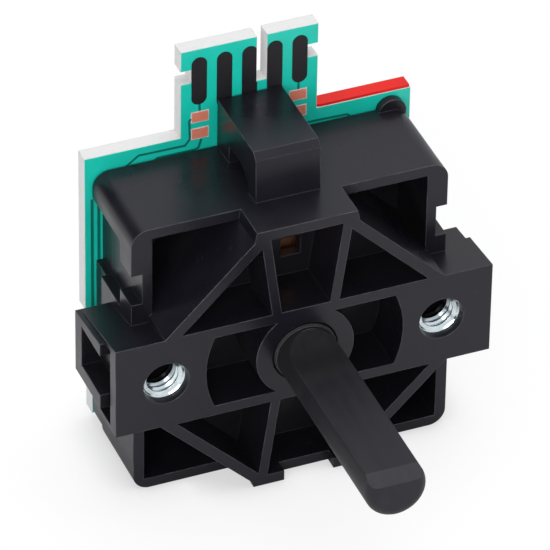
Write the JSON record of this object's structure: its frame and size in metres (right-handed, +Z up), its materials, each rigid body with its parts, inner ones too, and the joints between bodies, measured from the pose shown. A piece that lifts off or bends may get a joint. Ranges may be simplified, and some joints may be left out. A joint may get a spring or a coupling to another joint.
{
  "type": "selector potentiometer",
  "caption": "Panel-mount rotary potentiometer with a ribbed moulded housing, D-shaped plastic shaft, threaded inserts and a printed board with edge contacts.",
  "frame": {"origin": "shaft axis at the front mounting plane of the housing", "axes": "+X right seen from the shaft end, +Z up towards the contact tab, -Y out along the shaft"},
  "size_m": [0.0387, 0.0387, 0.0415],
  "materials": {
    "black_housing": "satin",
    "black_frame": "satin",
    "zinc_insert": "bright",
    "board_core": "matte",
    "green_mask": "satin",
    "carbon_print": "matte",
    "copper_pad": "matte",
    "silver_print": "matte",
    "red_paint": "gloss",
    "bronze_spring": "satin",
    "black_shaft": "satin",
    "carrier_plastic": "satin"
  },
  "bodies": {
    "housing_body": {"front_housing": "black_housing", "rear_frame": "black_frame", "threaded_insert_left": "zinc_insert", "threaded_insert_right": "zinc_insert", "circuit_board": "board_core", "solder_mask": "green_mask", "contact_finger_1": "carbon_print", "contact_finger_2": "carbon_print", "contact_finger_3": "carbon_print", "contact_finger_4": "carbon_print", "contact_finger_5": "carbon_print", "copper_pad_upper_left": "copper_pad", "copper_pad_lower_left": "copper_pad", "copper_pad_upper_right": "copper_pad", "copper_pad_lower_right": "copper_pad", "resistive_track": "carbon_print", "collector_ring": "silver_print", "red_paint_mark": "red_paint", "spring_washer": "bronze_spring"},
    "rotor": {"shaft": "black_shaft", "wiper_carrier": "carrier_plastic", "wiper_spring": "bronze_spring"}
  },
  "joints": [
    {"name": "shaft_turn", "type": "hinge", "parent": "housing_body", "child": "rotor", "pos_m": [0, 0, 0], "axis": [0, 1, 0], "range_deg": [-150, 150]}
  ]
}
